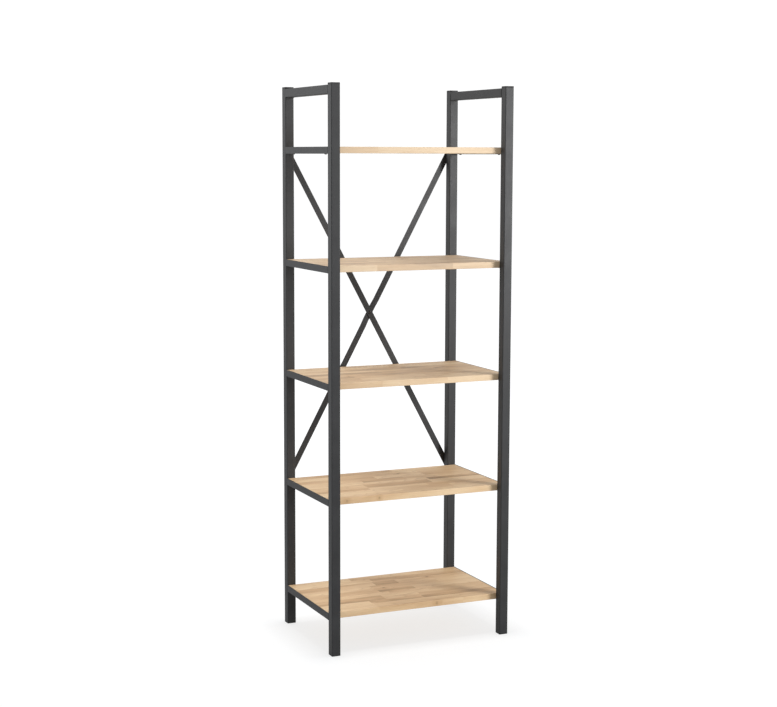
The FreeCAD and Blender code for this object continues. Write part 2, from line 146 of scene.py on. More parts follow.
class Bench:
    """Adds and wires nodes in one tree, for materials and for geometry."""

    def __init__(self, tree: bpy.types.NodeTree) -> None:
        """Start on a tree and empty it."""
        self.tree = tree
        self.tree.nodes.clear()

    def feed(self, socket: Socket, value: object) -> None:
        """Give a node's input a link, a colour or another constant.

        Args:
            socket: Input of a node.
            value: Socket to link from, a node for its first output, or the constant.
        """
        if isinstance(value, bpy.types.Node):
            value = value.outputs[0]
        if isinstance(value, Socket):
            self.tree.links.new(value, socket)
        elif socket.type == "RGBA" and len(value) == 3:
            socket.default_value = (*value, 1.0)
        else:
            socket.default_value = value

    def add(self, kind: str, inputs: dict | None = None, **settings: object) -> bpy.types.Node:
        """Add a node.

        Args:
            kind: Blender's name for the node type.
            inputs: Values or sockets for its inputs, by name or number.
            **settings: Properties of the node.

        Returns:
            The new node.
        """
        node = self.tree.nodes.new(kind)
        for key, value in settings.items():
            setattr(node, key, value)
        for key, value in (inputs or {}).items():
            self.feed(node.inputs[key], value)
        return node

    def math(self, operation: str, *values: object) -> Socket:
        """Add a Math node on values or sockets and return its result."""
        return self.add("ShaderNodeMath", dict(enumerate(values)), operation=operation).outputs[0]

    def plus(self, first: object, second: object) -> Socket:
        """Add two values."""
        return self.math("ADD", first, second)

    def minus(self, first: object, second: object) -> Socket:
        """Take the second value from the first."""
        return self.math("SUBTRACT", first, second)

    def times(self, first: object, second: object) -> Socket:
        """Multiply two values."""
        return self.math("MULTIPLY", first, second)

    def swing(self, noise: Socket, reach: float) -> Socket:
        """Centre a noise on zero and scale it."""
        return self.times(self.minus(noise, 0.5), reach)

    def vector(self, operation: str, *values: object) -> Socket:
        """Add a Vector Math node on values or sockets and return its vector result."""
        return self.add("ShaderNodeVectorMath", dict(enumerate(values)), operation=operation).outputs[0]

    def measure(self, operation: str, *values: object) -> Socket:
        """Add a Vector Math node on vectors and return its result in one number."""
        return self.add("ShaderNodeVectorMath", dict(enumerate(values)),
                        operation=operation).outputs["Value"]

    def ramp(self, factor: Socket, stops: Sequence[tuple[float, tuple]],
             smooth: bool = False) -> Socket:
        """Add a colour ramp.

        Args:
            factor: Socket that drives the ramp.
            stops: Places from 0 to 1, each with a grey value or an RGB colour.
            smooth: True for eased steps between the stops.

        Returns:
            The ramp's colour socket.
        """
        node = self.add("ShaderNodeValToRGB", {"Fac": factor})
        node.color_ramp.interpolation = "EASE" if smooth else "LINEAR"
        points = node.color_ramp.elements
        while len(points) < len(stops):
            points.new(1.0)
        for point, (place, colour) in zip(points, stops):
            point.position = place
            point.color = (*(colour if isinstance(colour, tuple) else (colour,) * 3), 1.0)
        return node.outputs["Color"]

    def mix(self, factor: object, first: object, second: object) -> Socket:
        """Mix two colours or sockets by the second one's share and return the result."""
        return self.add("ShaderNodeMix", {0: factor, 6: first, 7: second}, data_type="RGBA").outputs[2]

    def noise(self, place: Socket, grain: Grain) -> Socket:
        """Add a noise texture.

        Args:
            place: Coordinates in metres.
            grain: Pattern of the noise.

        Returns:
            The noise value socket, about 0 to 1.
        """
        if grain.stretch:
            place = self.vector("MULTIPLY", place, grain.stretch)
        values = {"Vector": place, "Scale": grain.scale, "Detail": grain.detail,
                  "Roughness": grain.roughness}
        return self.add("ShaderNodeTexNoise", values).outputs[0]

    def span(self, value: Socket, source: tuple, result: tuple, smooth: bool = False) -> Socket:
        """Map a value from one range to another and keep it inside.

        Args:
            value: Socket to map.
            source: Ends of its own range.
            result: Ends of the new range.
            smooth: True for an eased step from one end to the other.

        Returns:
            The mapped value.
        """
        limits = {"Value": value, "From Min": source[0], "From Max": source[1], "To Min": result[0],
                  "To Max": result[1]}
        return self.add("ShaderNodeMapRange", limits,
                        interpolation_type="SMOOTHSTEP" if smooth else "LINEAR").outputs[0]


class Recipe:
    """A geometry-node tree with named inputs that is turned into plain meshes."""

    def __init__(self, name: str, sockets: dict[str, str]) -> None:
        """Start the tree.

        Args:
            name: Name of the tree.
            sockets: Names of the inputs, each with the last word of its socket type.
        """
        self.tree = bpy.data.node_groups.new(name, "GeometryNodeTree")
        self.bench = Bench(self.tree)
        faces = self.tree.interface
        faces.new_socket("Geometry", in_out="INPUT", socket_type="NodeSocketGeometry")
        faces.new_socket("Geometry", in_out="OUTPUT", socket_type="NodeSocketGeometry")
        self.keys = {}
        for word, kind in {**sockets, "Finish": "Material"}.items():
            made = faces.new_socket(word, in_out="INPUT", socket_type=f"NodeSocket{kind}")
            self.keys[word] = made.identifier
        self.inputs = self.bench.add("NodeGroupInput").outputs

    def end(self, geometry: Socket) -> None:
        """Finish the tree with Realize Instances and Set Material.

        Args:
            geometry: What the tree has made.
        """
        real = self.bench.add("GeometryNodeRealizeInstances", {0: geometry})
        dressed = self.bench.add("GeometryNodeSetMaterial",
                                 {"Geometry": real, "Material": self.inputs["Finish"]})
        self.bench.add("NodeGroupOutput", {0: dressed})

    def cook(self, name: str, source: Mesh, finish: Material, values: dict[str, object]) -> Piece:
        """Run the tree once and keep the result as a plain mesh.

        Args:
            name: Name of the new piece.
            source: Mesh that the tree starts from.
            finish: Material of the piece.
            values: Values of the tree's other inputs by name.

        Returns:
            A new object at the origin with no modifier.
        """
        draft = bpy.data.objects.new(f"{name}_draft", source)
        bpy.context.scene.collection.objects.link(draft)
        modifier = draft.modifiers.new("recipe", "NODES")
        modifier.node_group = self.tree
        for word, value in {**values, "Finish": finish}.items():
            modifier[self.keys[word]] = value
        draft.update_tag()
        bpy.context.view_layer.update()
        result = draft.evaluated_get(bpy.context.evaluated_depsgraph_get())
        mesh = bpy.data.meshes.new_from_object(result)
        bpy.data.objects.remove(draft)
        mesh.materials.clear()
        mesh.materials.append(finish)
        mesh.polygons.foreach_set("material_index", [0] * len(mesh.polygons))
        return new_piece(name, mesh)


# ---- mesh helpers

def new_piece(name: str, mesh: Mesh) -> Piece:
    """Put a mesh in the scene as a named piece at the origin.

    Args:
        name: Name of the piece.
        mesh: Finished mesh, with its place in its vertices.

    Returns:
        The new object.
    """
    mesh.name = name
    piece = bpy.data.objects.new(name, mesh)
    bpy.context.scene.collection.objects.link(piece)
    return piece


def settle(piece: Piece, body: str, slot: Slot, replaced: Iterable[str] = ()) -> None:
    """Tie a finished piece to its body and hide the CAD nodes it stands for.

    Args:
        piece: Finished piece.
        body: Body that it rides on.
        slot: Material slot of its finish; not used.
        replaced: CAD nodes that it stands for.
    """
    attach(piece, body)
    names = list(replaced)
    if names:
        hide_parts(*names)
    LOG.info("%s: %d faces on %s", piece.name, len(piece.data.polygons), body)


def add_bevel(piece: Piece, width: float, segments: int = 2, limit: str = "ANGLE") -> None:
    """Ease the edges of a piece.

    Args:
        piece: Piece to finish.
        width: Width of the bevel in metres.
        segments: Steps across it.
        limit: ANGLE for every sharp edge, WEIGHT for edges by their bevel weight.
    """
    bevel = piece.modifiers.new("eased_edges", "BEVEL")
    bevel.width = width
    bevel.segments = segments
    bevel.limit_method = limit
    bevel.angle_limit = BEVEL_ANGLE
    bevel.harden_normals = True
    bevel.use_clamp_overlap = True


def outward_mesh(shape: bmesh.types.BMesh, name: str) -> Mesh:
    """Turn a working shape into a mesh with its faces outwards.

    Args:
        shape: Working shape, which is freed.
        name: Name of the mesh.

    Returns:
        The new mesh.
    """
    bmesh.ops.recalc_face_normals(shape, faces=shape.faces)
    mesh = bpy.data.meshes.new(name)
    shape.to_mesh(mesh)
    shape.free()
    return mesh


def softened_copy(node: str, name: str, finish: Material, width: float) -> Piece:
    """Copy a CAD node, join its loose triangles and ease its sharp edges.

    Args:
        node: CAD node to copy.
        name: Name of the new piece.
        finish: Material of the piece.
        width: Width of the eased edges in metres.

    Returns:
        The new piece, with a live bevel and large faces that shade as flat.
    """
    shape = bmesh.new()
    shape.from_mesh(frame["nodes"][node].data)
    bmesh.ops.remove_doubles(shape, verts=shape.verts, dist=JOIN_DISTANCE)
    bmesh.ops.dissolve_limit(shape, angle_limit=FLAT_ANGLE, verts=shape.verts, edges=shape.edges)
    mesh = outward_mesh(shape, name)
    mesh.shade_smooth()
    stored = mesh.attributes.get("custom_normal")
    if stored:
        mesh.attributes.remove(stored)
    mesh.materials.append(finish)
    piece = new_piece(name, mesh)
    add_bevel(piece, width)
    piece.modifiers.new("level_faces", "WEIGHTED_NORMAL")
    return piece


def turned_mesh(name: str, rings: Sequence[tuple[Radius, float]], steps: int,
                hollow: bool = False) -> Mesh:
    """Mesh turned about Z from rings whose radius may change round the turn.

    Args:
        name: Name of the mesh.
        rings: Pairs of a radius, as a function of angle and height, and a height in metres.
        steps: Divisions round the turn.
        hollow: True if the last ring joins the first, as on a nut; else both ends close at a pole.

    Returns:
        A closed mesh with its faces outwards.
    """
    shape = bmesh.new()
    turns = [math.tau * step / steps for step in range(steps)]
    rows = []
    for radius, height in rings:
        reaches = [radius(turn, height) for turn in turns]
        rows.append([shape.verts.new((reach * math.cos(turn), reach * math.sin(turn), height))
                     for turn, reach in zip(turns, reaches)])
    pairs = list(zip(rows, rows[1:]))
    if hollow:
        pairs.append((rows[-1], rows[0]))
    for low, high in pairs:
        for step in range(steps):
            after = (step + 1) % steps
            shape.faces.new((low[step], low[after], high[after], high[step]))
    if not hollow:
        for row, (_, height) in ((rows[0], rings[0]), (rows[-1], rings[-1])):
            pole = shape.verts.new((0.0, 0.0, height))
            for step in range(steps):
                shape.faces.new((row[step], row[(step + 1) % steps], pole))
    return outward_mesh(shape, name)


def round_radius(size: float) -> Radius:
    """Radius that is the same all round."""
    return lambda turn, height: size


def hexagon_radius(across: float, most: float = math.inf) -> Radius:
    """Radius of a hexagon.

    Args:
        across: Size across the flats in metres.
        most: Radius of a circle that cuts the corners off.

    Returns:
        The radius as a function of angle.
    """
    sixth = math.pi / 3

    def radius(turn: float, height: float) -> float:
        """Distance from the axis to the outline at one angle."""
        off_flat = (turn % sixth) - sixth / 2
        return min(most, across / 2 / math.cos(off_flat))
    return radius


def thread_radius(outer: float, pitch: float, depth: float) -> Radius:
    """Radius of a helical thread.

    Args:
        outer: Radius at the crest in metres.
        pitch: Rise in one turn.
        depth: Depth of the groove.

    Returns:
        The radius as a function of angle and height.
    """
    def radius(turn: float, height: float) -> float:
        """Crest and root follow a triangle wave along the helix."""
        phase = (height / pitch + turn / math.tau) % 1.0
        return outer - depth * abs(2 * phase - 1)
    return radius


# ---- finishes

def start_material(name: str) -> tuple[Material, Bench, Socket]:
    """Start a node material.

    Args:
        name: Name of the material.

    Returns:
        The material, its bench and its Object coordinates.
    """
    material = bpy.data.materials.new(name)
    material.use_nodes = True
    bench = Bench(material.node_tree)
    return material, bench, bench.add("ShaderNodeTexCoord").outputs["Object"]


def end_material(bench: Bench, base: Socket, rough: Socket, height: Socket, relief: tuple,
                 **constants: float) -> None:
    """End a material with a bump and a principled shader.

    Args:
        bench: Bench of the material.
        base: Base colour.
        rough: Roughness.
        height: Height that the bump follows.
        relief: Strength and distance of the bump.
        **constants: Values of other inputs, in lower case with underscores.
    """
    names = {"specular": "Specular IOR Level", "coat": "Coat Weight", "coat_rough": "Coat Roughness",
             "metallic": "Metallic"}
    bump = bench.add("ShaderNodeBump", {"Height": height, "Strength": relief[0], "Distance": relief[1]})
    inputs = {"Base Color": base, "Roughness": rough, "Normal": bump}
    inputs.update({names[word]: value for word, value in constants.items()})
    shader = bench.add("ShaderNodeBsdfPrincipled", inputs)
    bench.add("ShaderNodeOutputMaterial", {"Surface": shader})


@dataclass(frozen=True)
class PowderCoat:
    """Fine-textured black powder coat over steel, with light wear along its edges, which are also painted
    lighter as a highlight.
    """

    colour: tuple = (0.0205, 0.0208, 0.0225)
    mottled: tuple = (0.0275, 0.0280, 0.0300)
    # Lighter colour on the edges: partly wear on the steel, partly a painted highlight.
    rubbed_and_highlight: tuple = (0.0600, 0.0600, 0.0620)
    gloss: tuple = (0.40, 0.56)
    specular: float = 0.46
    relief: tuple = (0.75, 0.20 * MM)
    edge_radius: float = 1.1 * MM
    edge_wear_and_highlight: float = 0.8
    cloud: Grain = Grain(14.0, 3.0, 0.55)
    grain: Grain = Grain(1100.0, 2.0, 0.6)
    wave: Grain = Grain(240.0)
    edge_patches: Grain = Grain(45.0, 4.0, 0.7)

    def build(self) -> Material:
        """Make the material, which reads Object coordinates.

        Returns:
            The finished material.
        """
        material, bench, place = start_material("textured_powder_coat")
        cloud = bench.noise(place, self.cloud)
        wave = bench.noise(place, self.wave)
        # Edge mask from the Bevel node. The rounded edges are painted lighter, partly as wear and partly
        # as a painted highlight where they would catch the light.
        eased = bench.add("ShaderNodeBevel", {"Radius": self.edge_radius}, samples=4)
        facing = bench.add("ShaderNodeNewGeometry").outputs["Normal"]
        corner = bench.ramp(bench.measure("DOT_PRODUCT", eased, facing), [(0.90, 1.0), (0.985, 0.0)])
        edge_patches = bench.ramp(bench.noise(place, self.edge_patches), [(0.50, 0.0), (0.66, 1.0)])
        wear_and_highlight = bench.times(bench.times(corner, edge_patches), self.edge_wear_and_highlight)

        base = bench.mix(bench.ramp(cloud, [(0.35, 0.0), (0.68, 1.0)]), self.colour, self.mottled)
        base = bench.mix(wear_and_highlight, base, self.rubbed_and_highlight)
        tone = bench.plus(bench.times(cloud, 0.6), bench.times(wave, 0.4))
        height = bench.plus(bench.times(bench.noise(place, self.grain), 0.45), bench.times(wave, 0.55))
        end_material(bench, base, bench.span(tone, (0.3, 0.7), self.gloss), height, self.relief,
                     specular=self.specular)
        return material


@dataclass(frozen=True)
class OakBoard:
    """Pale oak under matt lacquer, cut from staves that each have their own growth rings, with a painted
    sheen on the upper boards.
    """

    tones: tuple = ((0.00, (0.880, 0.665, 0.420)), (0.30, (0.795, 0.565, 0.332)),
                    (0.58, (0.690, 0.463, 0.257)), (0.80, (0.535, 0.350, 0.188)),
                    (1.00, (0.385, 0.243, 0.128)))
    stave_spread: float = 0.82
    stave_start: float = -0.04
    # Colour of the painted sheen that lightens the upper boards.
    painted_sheen_colour: tuple = (0.840, 0.720, 0.570)
    warm: tuple = (0.560, 0.345, 0.170)
    ring_line: tuple = (0.500, 0.290, 0.140)
    pore: tuple = (0.260, 0.140, 0.065)
    knot: tuple = (0.130, 0.060, 0.025)
    fleck: tuple = (0.88, 0.70, 0.48)
    gloss: tuple = (0.50, 0.68)
    specular: float = 0.42
    coat: float = 0.06
    coat_rough: float = 0.45
    relief: tuple = (0.5, 0.10 * MM)
    stave_shift: tuple = (31.7, 17.3, 9.1)
    sway_grain: Grain = Grain(5.0, 2.0, 0.5, (0.55, 3.0, 3.0))
    streak_grain: Grain = Grain(60.0, 4.0, 0.62, (0.05, 4.0, 4.0))
    cloud_grain: Grain = Grain(7.0, 3.0, 0.55, (0.5, 2.6, 2.6))
    pore_grain: Grain = Grain(900.0, 2.0, 0.7, (0.035, 1.0, 1.0))
    fleck_grain: Grain = Grain(120.0, 2.0, 0.5, (0.6, 0.25, 2.2))
    tone_drift: float = 2.1
    ring_width: float = 3.4 * MM
    ring_swing: float = 26 * MM
    lean: float = 0.055
    knot_stretch: tuple = (0.6, 1.0, 0.5)
    knot_wobble: float = 0.7
    knots: tuple = (
        (0.068, -0.186, 0.124, 5.0), (0.081, -0.187, 0.126, 2.6), (0.165, 0.092, 0.134, 5.5),
        (-0.030, 0.020, 0.134, 4.0), (-0.250, -0.186, 0.492, 4.6), (-0.138, -0.187, 0.493, 3.6),
        (0.060, 0.105, 0.502, 5.0), (0.205, 0.060, 0.870, 4.6), (-0.190, -0.060, 0.870, 3.6),
        (-0.060, 0.090, 1.238, 4.2), (0.120, -0.070, 1.606, 4.4), (-0.180, 0.110, 1.606, 3.4))

    def rings(self, bench: Bench, place: Socket,
              sway: Socket) -> Socket:
        """Fraction of the way through a growth ring, from the stave's own heart.

        Args:
            bench: Bench of the material.
            place: Object coordinates.
            sway: Noise that bends the rings.

        Returns:
            A value from 0 to 1 in each ring.
        """
        heart = bench.add("ShaderNodeAttribute", attribute_name="heart").outputs["Vector"]
        offset = bench.add("ShaderNodeSeparateXYZ", {0: bench.vector("SUBTRACT", place, heart)}).outputs
        swing = bench.swing(sway, self.ring_swing)
        across = bench.plus(offset[1], swing)
        depth = bench.plus(bench.plus(offset[2], bench.times(offset[0], self.lean)), swing)
        radius = bench.math("SQRT", bench.plus(bench.times(across, across), bench.times(depth, depth)))
        return bench.math("FRACT", bench.math("DIVIDE", radius, self.ring_width))

    def knot_distance(self, bench: Bench, place: Socket,
                      wobble: Socket) -> Socket:
        """Distance to the nearest pin knot, as a share of its radius.

        Args:
            bench: Bench of the material.
            place: Object coordinates.
            wobble: Noise that makes the knots' outlines uneven.

        Returns:
            A value below 1 inside a knot; knots are longer along the grain and through the board.
        """
        nearest: object = 99.0
        for x, y, z, radius in self.knots:
            apart = bench.vector("SUBTRACT", place, (x, y, z))
            scaled = bench.vector("MULTIPLY", apart,
                                  tuple(share / (radius * MM) for share in self.knot_stretch))
            nearest = bench.math("MINIMUM", bench.measure("LENGTH", scaled), nearest)
        return bench.plus(nearest, bench.swing(wobble, self.knot_wobble))

    def build(self) -> Material:
        """Make the material, which reads Object coordinates and the blocks' attributes.

        Returns:
            The finished material.
        """
        material, bench, place = start_material("lacquered_oak")
        stave = bench.add("ShaderNodeAttribute", attribute_name="stave").outputs["Fac"]
        paleness = bench.add("ShaderNodeAttribute", attribute_name="paleness").outputs["Fac"]
        shift = bench.add("ShaderNodeVectorMath", {0: self.stave_shift, "Scale": stave},
                          operation="SCALE")
        shifted = bench.vector("ADD", place, shift)

        ring = self.rings(bench, place, bench.noise(shifted, self.sway_grain))
        line = bench.ramp(ring, [(0.0, 0.0), (0.10, 0.85), (0.26, 0.35), (0.75, 0.06), (1.0, 0.0)])
        streak = bench.noise(shifted, self.streak_grain)
        pores = bench.ramp(bench.noise(shifted, self.pore_grain), [(0.60, 0.0), (0.68, 1.0)])
        pore = bench.times(pores, bench.plus(bench.times(line, 0.75), 0.15))
        fleck = bench.ramp(bench.noise(shifted, self.fleck_grain), [(0.66, 0.0), (0.74, 1.0)])
        nearest = self.knot_distance(bench, place, streak)
        knot = bench.ramp(nearest, [(0.30, 0.85), (0.62, 0.45), (1.0, 0.0)])
        halo = bench.ramp(bench.math("DIVIDE", nearest, 4.0), [(0.2, 0.45), (0.8, 0.0)], smooth=True)

        drift = bench.swing(bench.noise(shifted, self.cloud_grain), self.tone_drift)
        own_tone = bench.plus(bench.times(stave, self.stave_spread), self.stave_start)
        base = bench.ramp(bench.plus(own_tone, drift), self.tones)
        # The first mix paints the upper boards paler and greyer, a painted sheen that stands in for the
        # lacquer's reflection and the light on them. The other mixes are the wood's own marks.
        for share, colour in (
                (paleness, self.painted_sheen_colour), (halo, self.warm), (bench.times(line, 0.42), self.ring_line),
                (bench.times(bench.ramp(streak, [(0.40, 0.0), (0.72, 1.0)]), 0.26), self.warm),
                (bench.times(fleck, 0.16), self.fleck), (bench.times(pore, 0.60), self.pore),
                (knot, self.knot)):
            base = bench.mix(share, base, colour)

        wear = bench.plus(bench.times(streak, 0.7), bench.times(pore, 0.5))
        height = bench.minus(bench.times(streak, 0.35), bench.plus(pore, bench.times(line, 0.25)))
        end_material(bench, base, bench.span(wear, (0.2, 0.9), self.gloss), height, self.relief,
                     specular=self.specular, coat=self.coat, coat_rough=self.coat_rough)
        return material


@dataclass(frozen=True)
class MouldedPlastic:
    """Matt black polyethylene with a fine spark-eroded skin."""

    colour: tuple = (0.0130, 0.0130, 0.0140)
    scraped: tuple = (0.0420, 0.0420, 0.0430)
    scraping: float = 0.35
    gloss: tuple = (0.50, 0.68)
    relief: tuple = (0.45, 0.06 * MM)
    skin: Grain = Grain(2600.0, 2.0, 0.6)
    cloud: Grain = Grain(60.0, 3.0, 0.6)
    scrape: Grain = Grain(400.0, 4.0, 0.7, (1.0, 0.12, 1.0))

    def build(self) -> Material:
        """Make the material, which reads Object coordinates.

        Returns:
            The finished material.
        """
        material, bench, place = start_material("moulded_polyethylene")
        scrape = bench.ramp(bench.noise(place, self.scrape), [(0.62, 0.0), (0.74, 1.0)])
        base = bench.mix(bench.times(scrape, self.scraping), self.colour, self.scraped)
        rough = bench.span(bench.noise(place, self.cloud), (0.3, 0.7), self.gloss)
        end_material(bench, base, rough, bench.noise(place, self.skin), self.relief)
        return material


@dataclass(frozen=True)
class PlatedSteel:
    """Metallic steel finish, either black oxide or bright zinc, by its colours."""

    name: str
    colour: tuple
    tinted: tuple
    gloss: tuple
    relief: tuple = (0.3, 0.03 * MM)
    cloud: Grain = Grain(260.0, 3.0, 0.6)
    marks: Grain = Grain(1800.0, 3.0, 0.7, (1.0, 1.0, 0.15))

    def build(self) -> Material:
        """Make the material, which reads Object coordinates.

        Returns:
            The finished material.
        """
        material, bench, place = start_material(self.name)
        tint = bench.ramp(bench.noise(place, self.cloud), [(0.38, 0.0), (0.66, 1.0)])
        marks = bench.noise(place, self.marks)
        end_material(bench, bench.mix(tint, self.colour, self.tinted),
                     bench.span(marks, (0.3, 0.7), self.gloss), marks, self.relief, metallic=1.0)
        return material


def make_finishes() -> dict[Slot, Material]:
    """Make one material for each slot of the record.

    Returns:
        The materials by slot.
    """
    recipes = {
        Slot.POWDER: PowderCoat(),
        Slot.OAK: OakBoard(),
        Slot.PLASTIC: MouldedPlastic(),
        Slot.BLACK_STEEL: PlatedSteel("black_oxide_steel", colour=(0.065, 0.064, 0.066),
                                      tinted=(0.110, 0.105, 0.100), gloss=(0.30, 0.46)),
        Slot.ZINC: PlatedSteel("bright_zinc_plate", colour=(0.66, 0.67, 0.69),
                               tinted=(0.74, 0.71, 0.60), gloss=(0.24, 0.40)),
    }
    return {slot: recipe.build() for slot, recipe in recipes.items()}


def dress_cad_nodes(finishes: dict[Slot, Material]) -> None:
    """Give every CAD node the finish of its slot, by its material slots only.

    Args:
        finishes: Materials by slot.
    """
    wanted = {entry["node"]: Slot(entry["material_slot"]) for entry in frame["record"]["subparts"]}
    for name, node in frame["nodes"].items():
        for place in node.material_slots:
            place.material = finishes[wanted[name]]
    LOG.info("dressed %d CAD nodes", len(frame["nodes"]))


# ---- boards

@dataclass
class ShelfBoards:
    """Five boards, each glued up from rows of oak blocks that run along its length."""

    finish: Material
    rows: int = 9
    blocks: int = 3
    row_unevenness: float = 0.40
    block_unevenness: float = 0.75
    outline_ease: float = 1.2 * MM
    joint_ease: float = 0.09 * MM
    # Share of painted sheen on each board, top first. The upper boards are painted paler to stand in for
    # the lacquer's reflection and the light falling on them.
    paleness: tuple = (0.38, 0.40, 0.20, 0.0, 0.0)
    heart_nearest: tuple = (0.4, 45 * MM, -25 * MM)
    heart_farthest: tuple = (-0.4, -45 * MM, -110 * MM)
    block_salt: float = 32.0
    row_salt: float = 7.0
    tone_salt: float = 11.0
    heart_salt: float = 23.0
    first_seed: int = 41
    seed_step: int = 7
    recipe: Recipe = field(init=False)

    def __post_init__(self) -> None:
        """Build the tree that lays the blocks row by row."""
        self.recipe = Recipe("glued_blocks", {
            "Centre": "Vector", "Length": "Float", "Depth": "Float", "Thickness": "Float",
            "Rows": "Int", "Blocks": "Int", "Row Unevenness": "Float", "Block Unevenness": "Float",
            "Paleness": "Float", "Seed": "Int"})
        bench, given = self.recipe.bench, self.recipe.inputs
        index = bench.add("GeometryNodeInputIndex")
        row = bench.math("FLOOR", bench.math("DIVIDE", bench.plus(index, 0.5), given["Blocks"]))
        block = bench.minus(index, bench.times(row, given["Blocks"]))
        own_salt = bench.times(bench.plus(row, 1.0), self.block_salt)
        spans = []
        for number, count, reach, swing, salt in (
                (block, given["Blocks"], given["Length"], given["Block Unevenness"], own_salt),
                (row, given["Rows"], given["Depth"], given["Row Unevenness"], self.row_salt)):
            low = self.joint_line(number, count, reach, swing, salt)
            high = self.joint_line(bench.plus(number, 1.0), count, reach, swing, salt)
            spans.append((bench.times(bench.plus(low, high), 0.5), bench.minus(high, low)))
        (along, length), (across, width) = spans
        shift = bench.add("ShaderNodeCombineXYZ", {0: along, 1: across})
        points = bench.add("GeometryNodePoints", {
            "Count": bench.times(given["Rows"], given["Blocks"]),
            "Position": bench.vector("ADD", given["Centre"], shift)})
        size = bench.add("ShaderNodeCombineXYZ", {0: length, 1: width, 2: given["Thickness"]})
        cube = bench.add("GeometryNodeMeshCube", {"Size": (1.0, 1.0, 1.0)})
        laid = bench.add("GeometryNodeInstanceOnPoints", {
            "Points": points, "Instance": cube, "Scale": size})
        drift = self.chance(index, self.heart_salt, self.heart_farthest, self.heart_nearest)
        heart = bench.vector("ADD", bench.add("GeometryNodeInputPosition"), drift)
        # Each block stores its tone, its heart and its board's share of painted sheen.
        for word, value, kind in (("stave", self.chance(index, self.tone_salt), "FLOAT"),
                                  ("heart", heart, "FLOAT_VECTOR"),
                                  ("paleness", given["Paleness"], "FLOAT")):
            laid = bench.add("GeometryNodeStoreNamedAttribute", {
                "Geometry": laid, "Name": word, "Value": value},
                data_type=kind, domain="INSTANCE")
        self.recipe.end(laid)

    def chance(self, number: Socket, salt: object, least: object = 0.0,
               most: object = 1.0) -> Socket:
        """Random value for each number, fixed by the seed.

        Args:
            number: Number of the block, row or joint.
            salt: Keeps this draw apart from the others.
            least: Lowest number or vector.
            most: Highest number or vector.

        Returns:
            The random value.
        """
        bench = self.recipe.bench
        seed = bench.plus(self.recipe.inputs["Seed"], salt)
        vector = isinstance(least, tuple)
        kind, low, high, out = ("FLOAT_VECTOR", 0, 1, 0) if vector else ("FLOAT", 2, 3, 1)
        draw = bench.add("FunctionNodeRandomValue", {"ID": number, "Seed": seed}, data_type=kind)
        bench.feed(draw.inputs[low], least)
        bench.feed(draw.inputs[high], most)
        return draw.outputs[out]

    def joint_line(self, number: Socket, count: Socket, reach: Socket, swing: Socket,
                   salt: object) -> Socket:
        """Distance of a glue joint from the board's middle.

        Args:
            number: Number of the joint, from 0 at one edge.
            count: Number of blocks or rows.
            reach: Size of the board in this direction.
            swing: How far inner joints move, as a share of their spacing.
            salt: Keeps the draws of one row apart from the next.

        Returns:
            The distance; the board's two edges stay in place.
        """
        bench = self.recipe.bench
        even = bench.math("DIVIDE", reach, count)
        regular = bench.minus(bench.times(number, even), bench.times(reach, 0.5))
        inside = bench.times(bench.math("GREATER_THAN", number, 0.5),
                             bench.math("LESS_THAN", number, bench.minus(count, 0.5)))
        wander = bench.times(self.chance(number, salt, -0.5, 0.5), bench.times(even, swing))
        return bench.plus(regular, bench.times(wander, inside))

    def weigh_edges(self, mesh: Mesh, low: Vector, high: Vector) -> None:
        """Give the board's outline a full bevel and the glue joints a hairline one.

        Args:
            mesh: Mesh of the blocks.
            low: Lowest corner of the board.
            high: Highest corner of the board.
        """
        weights = mesh.attributes.new("bevel_weight_edge", "FLOAT", "EDGE")
        for edge in mesh.edges:
            ends = [mesh.vertices[number].co for number in edge.vertices]
            planes = sum(all(abs(point[axis] - limit[axis]) < PLANE_TOLERANCE for point in ends)
                         for axis in range(3) for limit in (low, high))
            weights.data[edge.index].value = 1.0 if planes == 2 else self.joint_ease / self.outline_ease

    def build(self) -> None:
        """Make the boards and let each stand for its CAD node."""
        for number, shelf in enumerate(Shelf):
            node = f"shelf_board_{shelf.word}"
            low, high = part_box(node)
            size = high - low
            nothing = bpy.data.meshes.new("empty")
            board = self.recipe.cook(f"oak_board_{shelf.word}", nothing, self.finish, {
                "Centre": (low + high) / 2, "Length": size.x, "Depth": size.y, "Thickness": size.z,
                "Rows": self.rows, "Blocks": self.blocks, "Row Unevenness": self.row_unevenness,
                "Block Unevenness": self.block_unevenness, "Paleness": self.paleness[number],
                "Seed": self.first_seed + self.seed_step * number})
            self.weigh_edges(board.data, low, high)
            add_bevel(board, self.outline_ease, 3, "WEIGHT")
            settle(board, shelf.body, Slot.OAK, [node])


# ---- welds

